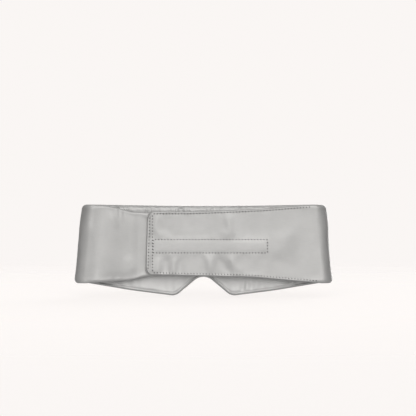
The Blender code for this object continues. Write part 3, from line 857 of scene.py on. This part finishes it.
def stitch_shape(centre, along, up):
    """One stitch: a short plump thread that dives into the cloth at both ends."""
    across = np.cross(along, up)
    places = []
    for share, fullness, rise in STITCH_RINGS:
        middle = centre + along * share * STITCH_LENGTH + up * rise
        for turn in turns(STITCH_SIDES):
            ring = across * math.cos(turn) * STITCH_WIDTH + up * math.sin(turn) * STITCH_HEIGHT
            places.append(middle + ring * STITCH_RADIUS * fullness)
    return places, tube_faces(len(STITCH_RINGS), STITCH_SIDES)


def tube_faces(rings, sides):
    faces = []
    for ring in range(rings - 1):
        for side in range(sides):
            a, b = ring * sides + side, ring * sides + (side + 1) % sides
            faces.append((a, b, b + sides, a + sides))
    faces.append(tuple(range(sides))[::-1])
    faces.append(tuple(range((rings - 1) * sides, rings * sides)))
    return faces


def make_stitches(name, surface, path, material):
    """A row of stitches laid on a surface, which is found by looking at it from behind."""
    vertices, faces = [], []
    for (x, z), (along_x, along_z) in zip(*along_path(path, STITCH_PITCH)):
        hit, normal, _, _ = surface.ray_cast(Vector((x, BEHIND, z)), Vector((0, -1, 0)))
        if hit is None:
            continue
        up = np.array(normal) * math.copysign(1.0, normal.y)
        along = np.array((along_x, 0.0, along_z))
        along = along - up * along.dot(up)
        add_shape(vertices, faces, stitch_shape(np.array(hit), along / np.linalg.norm(along), up))
    return make_object(name, vertices, faces, material)


def rectangle(low, high, inset):
    """A closed (x, z) line inside a box, with small round corners."""
    r = TAPE_CORNER - inset / 2
    x0, x1, z0, z1 = low.x + inset + r, high.x - inset - r, low.z + inset + r, high.z - inset - r
    line = []
    for x, z, start in ((x1, z1, 90), (x1, z0, 0), (x0, z0, -90), (x0, z1, 180)):
        for turn in np.radians(np.linspace(start, start - 90, 5)):
            line.append((x + r * math.cos(turn), z + r * math.sin(turn)))
    return line + line[:1]


# ---- Tapes ----
PILE_HEIGHT = 0.00042
PILE_PITCH = 0.0014
PILE_RADIUS = 0.00007
PILE_SIDES = 4
PILE_ROOT = 0.00005  # how far each hook or loop starts inside the base
PILE_MARGIN = (0.003, 0.0018)  # left free in all, and before the first row
HOOK = ((0.0, 0.0), (0.0, 0.00022), (0.0001, 0.00036), (0.00024, 0.00038), (0.00032, 0.00028))
LOOP = ((-0.0003, 0.0), (-0.00034, 0.00018), (-0.00018, 0.00036), (0.00018, 0.00036),
        (0.00034, 0.00018), (0.0003, 0.0))
TAPE_RINGS = ((0.0004, -1.0), (0.0001, -0.5), (0.0, 0.0), (0.0001, 0.5), (0.0004, 1.0))


def tape_base(low, high, y_from, y_to):
    """A flat ribbon with rounded corners and soft edges, as a closed shape."""
    middle, half = (y_from + y_to) / 2, (y_to - y_from) / 2
    rings = [[(x, middle + half * share, z) for x, z in rectangle(low, high, inset)[:-1]]
             for inset, share in TAPE_RINGS]
    return [place for ring in rings for place in ring], tube_faces(len(rings), len(rings[0]))


def bent_wire(root, path):
    """A thin bristle along a path of offsets from its root."""
    points = [np.array(root) + np.array(step) for step in path]
    places = []
    for index, point in enumerate(points):
        along = points[min(index + 1, len(points) - 1)] - points[max(index - 1, 0)]
        across = np.cross(along, (0.31, 0.0, 0.95))
        across = across / np.linalg.norm(across)
        other = np.cross(along / np.linalg.norm(along), across)
        for turn in turns(PILE_SIDES):
            places.append(point + PILE_RADIUS * (across * math.cos(turn) + other * math.sin(turn)))
    return places, tube_faces(len(points), PILE_SIDES)


def make_tape(name, node, towards, pile, material, seed):
    """A tape with its pile: little hooks or loops on a woven base, on its +Y or its -Y side."""
    low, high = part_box(node)
    y_back, y_face = (low.y, high.y) if towards > 0 else (high.y, low.y)
    y_base = y_face - towards * PILE_HEIGHT
    vertices, faces = tape_base(low, high, *sorted((y_back - towards * TAPE_SUNK, y_base)))
    draw = np.random.RandomState(seed)
    free, first = PILE_MARGIN
    for column in range(int((high.x - low.x - free) / PILE_PITCH)):
        for row in range(int((high.z - low.z - free) / PILE_PITCH)):
            x = low.x + first + (column + 0.5 * (row % 2)) * PILE_PITCH
            z = low.z + first + row * PILE_PITCH
            lean, size = draw.uniform(-0.6, 0.6), draw.uniform(0.85, 1.0)
            path = [(size * (a * math.cos(lean)), towards * b * size, a * math.sin(lean)) for a, b in pile]
            add_shape(vertices, faces, bent_wire((x, y_base - towards * PILE_ROOT, z), path))
    return make_object(name, vertices, faces, material)


def build_shell(wrap):
    outer_offset, lining_offset = skins(wrap)
    outer = wrap.middle + wrap.out * outer_offset[..., None]
    lining = wrap.middle - wrap.out * lining_offset[..., None]
    lining[wrap.on_edge] = outer[wrap.on_edge] = wrap.middle[wrap.on_edge]
    points = np.stack([outer, lining])
    points = points + capped_moves(wrap, swell(wrap, points))
    quads, kinds, outer_index, lining_index = shell_faces(wrap.count, wrap.rows, SEAM_ROW)
    places = points.reshape(-1, 3)
    return places, quads, kinds, outer_index, lining_index, vertex_normals(places, quads)


def join_columns(wrap):
    """The columns where the wrap is split: before both folds, and at the tab's groove."""
    front = np.nonzero(wrap.part == "front")[0]
    reach = 1 - JOIN_DISTANCE / FOLD_CENTRE_X
    left, right = (int(front[np.argmin(np.abs(wrap.share[front, 0] - side * reach))]) for side in (1, -1))
    return left, right, int(np.nonzero(wrap.part == "tab")[0][0])


def build_covers(wrap, shell, silk, lining):
    left_join, right_join, groove = join_columns(wrap)
    front, left, right, tab = (
        cut_piece(name + "_cover", wrap, shell, first, last, [silk, lining])
        for name, first, last in (
            ("front_panel", left_join, right_join), ("left_strap", 0, left_join),
            ("right_strap", right_join, groove), ("pull_tab", groove, wrap.count - 1)))
    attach(front, "front_panel")
    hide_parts("front_outer_silk", "front_lining_silk", "front_padding", "front_blackout_liner")
    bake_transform(left)
    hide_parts("left_fold_silk", "left_fold_padding", "left_fold_lining",
                "left_strap_silk", "left_strap_padding", "left_strap_lining")
    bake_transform(right)
    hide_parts("right_fold_silk", "right_fold_padding", "right_fold_lining",
                "right_strap_silk", "right_strap_interlining", "right_strap_lining")
    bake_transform(tab)
    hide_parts("pull_tab_silk", "pull_tab_interlining", "pull_tab_lining")
    return left, right, tab


def surface_of(*pieces):
    vertices, faces = [], []
    for piece in pieces:
        add_shape(vertices, faces, ([vertex.co.copy() for vertex in piece.data.vertices],
                                    [face.vertices for face in piece.data.polygons]))
    return BVHTree.FromPolygons(vertices, faces)


def build_tapes(tape):
    hooks = make_tape("hook_tape_pile", "hook_tape", 1, HOOK, tape, 5)
    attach(hooks, "left_strap")
    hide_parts("hook_tape")
    loops = make_tape("loop_tape_pile", "loop_tape", -1, LOOP, tape, 9)
    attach(loops, "right_strap")
    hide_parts("loop_tape")
    return hooks


def build_stitches(left, right, tab, hooks, thread):
    over, under = surface_of(right, tab), surface_of(left, hooks)
    rows = {}
    for name, line, side, start in (("top", RIGHT_TOP, -1, TOP_ROW_START),
                                    ("bottom", RIGHT_BOTTOM, 1, BOTTOM_ROW_START)):
        places = np.linspace(start, TAB_GROOVE_X - ROW_END_INSET, ROW_POINTS)
        rows["right_strap_" + name] = [(x, height_on(line, x) + side * EDGE_STITCH_INSET) for x in places]
    rows["loop_tape"] = rectangle(*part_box("loop_tape"), TAPE_STITCH_INSET)
    rows["groove"] = [(TAB_GROOVE_X - GROOVE_ROW_INSET, z) for z in (
        RIGHT_TIP_BOTTOM[1] + GROOVE_ROW_ENDS, RIGHT_TIP_TOP[1] - GROOVE_ROW_ENDS)]
    for name, path in rows.items():
        piece = make_stitches(name + "_stitches", over, path, thread)
        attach(piece, "right_strap")
        if name != "groove":
            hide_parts(name + "_stitching")
    ends = (RIGHT_TIP_BOTTOM[1] + 2 * TAB_STITCH_INSET, RIGHT_TIP_TOP[1] - 2 * TAB_STITCH_INSET)
    end_row = [(right_tip_x(z) - TAB_STITCH_INSET, z) for z in ends]
    band = make_stitches("pull_tab_stitches", over, end_row, thread)
    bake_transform(band)
    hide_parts("pull_tab_stitching")
    around = rectangle(*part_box("hook_tape"), HOOK_STITCH_INSET)
    sewn = make_stitches("hook_tape_stitches", under, around, thread)
    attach(sewn, "left_strap")
    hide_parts("hook_tape_stitching")


# ---- Stage, light and camera ----
PALE = (0.955, 0.922, 0.904, 1.0)
FLOOR_COLOUR = (0.34, 0.33, 0.325, 1.0)
FLOOR_GLOW = 0.762
FLOOR_CLEARANCE = 0.0008
FLOOR_RADIUS, FLOOR_RINGS, FLOOR_SIDES = 4.0, 24, 96
FLOOR_FADES = (0.35, 1.6)  # from solid to clear, away from its middle
AMBIENT_COLOUR = (1.0, 0.985, 0.975, 1.0)
AMBIENT = (0.06, 0.6)  # from the sides, and from in front and behind
AMBIENT_ABOVE = 0.9  # from above and below, as a share of the way between those two
SUN_COLOUR = (1.0, 0.985, 0.965)
SUNS = {  # where the light comes from, strength and softness in degrees
    "back_key": ((-0.02, 1.0, 0.36), 1.55, 44.0),
    "front_key": ((-0.34, -1.0, 0.14), 2.05, 48.0),
}
CAMERA_PLACE = (-0.0048, 2.415, 0.0374)
CAMERA_LENS = 200.0


def make_floor():
    """A wide pale floor that fades into the pale surroundings far away."""
    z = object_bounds()[0].z - FLOOR_CLEARANCE
    vertices = []
    for ring in range(FLOOR_RINGS, 0, -1):
        reach = FLOOR_RADIUS * (ring / FLOOR_RINGS) ** 2
        vertices += [(reach * math.cos(turn), reach * math.sin(turn), z) for turn in turns(FLOOR_SIDES)]
    faces = tube_faces(FLOOR_RINGS, FLOOR_SIDES)
    del faces[-2]  # the rings lie flat, so only the smallest one is closed
    nodes = Nodes(bpy.data.materials.new("pale_floor"))
    place = nodes.add("ShaderNodeTexCoord", {}).outputs["Object"]
    distance = nodes.add("ShaderNodeVectorMath", {0: place}, operation="LENGTH").outputs["Value"]
    near, far = FLOOR_FADES
    shown = nodes.add("ShaderNodeMapRange", {0: distance, 1: near, 2: far, 3: 1.0, 4: 0.0},
                      interpolation_type="SMOOTHSTEP")
    nodes.fill(nodes.shader, {
        "Base Color": FLOOR_COLOUR, "Roughness": 0.9, "Specular IOR Level": 0.0,
        "Emission Color": PALE, "Emission Strength": FLOOR_GLOW, "Alpha": shown.outputs[0]})
    floor = make_object("pale_floor", vertices, faces, nodes.owner)
    floor.visible_diffuse = floor.visible_glossy = False    # it throws no light back on the cloth


def make_world():
    """Plain and pale behind the mask, and a soft light that depends on where it comes from."""
    world = bpy.data.worlds.new("soft_studio")
    bpy.context.scene.world = world
    nodes = Nodes(world)
    nodes.tree.nodes.clear()
    place = nodes.add("ShaderNodeTexCoord", {}).outputs["Generated"]
    towards = nodes.add("ShaderNodeSeparateXYZ", {0: place}).outputs
    square = nodes.math("MULTIPLY", towards["Y"], towards["Y"])
    above = nodes.spread(nodes.math("ABSOLUTE", towards["Z"]), 0.0, AMBIENT_ABOVE)
    strength = nodes.spread(nodes.math("ADD", square, above), *AMBIENT)
    ambient = nodes.add("ShaderNodeBackground", {"Color": AMBIENT_COLOUR, "Strength": strength})
    seen = nodes.add("ShaderNodeBackground", {"Color": PALE})
    path = nodes.add("ShaderNodeLightPath", {})
    mix = nodes.add("ShaderNodeMixShader", {
        0: path.outputs["Is Camera Ray"], 1: ambient.outputs[0], 2: seen.outputs[0]})
    nodes.add("ShaderNodeOutputWorld", {"Surface": mix.outputs[0]})


def make_lights():
    for name, (direction, strength, softness) in SUNS.items():
        light = bpy.data.lights.new(name, "SUN")
        light.energy = strength
        light.angle = math.radians(softness)
        light.color = SUN_COLOUR
        lamp = bpy.data.objects.new(name, light)
        lamp.rotation_mode = "QUATERNION"
        lamp.rotation_quaternion = (-Vector(direction)).to_track_quat("-Z", "Y")
        bpy.context.scene.collection.objects.link(lamp)


def make_camera():
    data = bpy.data.cameras.new("main_camera")
    data.lens = CAMERA_LENS
    data.clip_start, data.clip_end = 0.1, 50.0
    camera = bpy.data.objects.new("main_camera", data)
    camera.location = CAMERA_PLACE
    camera.rotation_euler = (math.pi / 2, 0.0, math.pi)
    bpy.context.scene.collection.objects.link(camera)
    bpy.context.scene.camera = camera
    bpy.context.scene.view_settings.view_transform = "Standard"


silk = satin("silver_satin", (0.364, 0.3635, 0.36), (0.486, 0.4855, 0.481),
             roughness=0.48, sheen=0.04, lustre=0.44)
lining_cloth = satin("silver_lining", (0.465, 0.4645, 0.461), (0.6, 0.5995, 0.595),
                     roughness=0.52, sheen=0.05, lustre=0.38)
tape_cloth = nylon("grey_nylon", (0.34, 0.34, 0.335), (0.55, 0.55, 0.54))
# The thread is given far darker colours than the real, silk-coloured thread: painted shade of the dimples and
# needle holes where each stitch dives into the cloth.
thread_with_painted_shade = painted_shade_thread_shader("thread_darkened_as_painted_shade", (0.07, 0.07, 0.069), (0.15, 0.15, 0.147))

make_camera()
make_world()
make_lights()
whole = Wrap()
left_cover, right_cover, tab_cover = build_covers(whole, build_shell(whole), silk, lining_cloth)
hook_pile = build_tapes(tape_cloth)
build_stitches(left_cover, right_cover, tab_cover, hook_pile, thread_with_painted_shade)
make_floor()
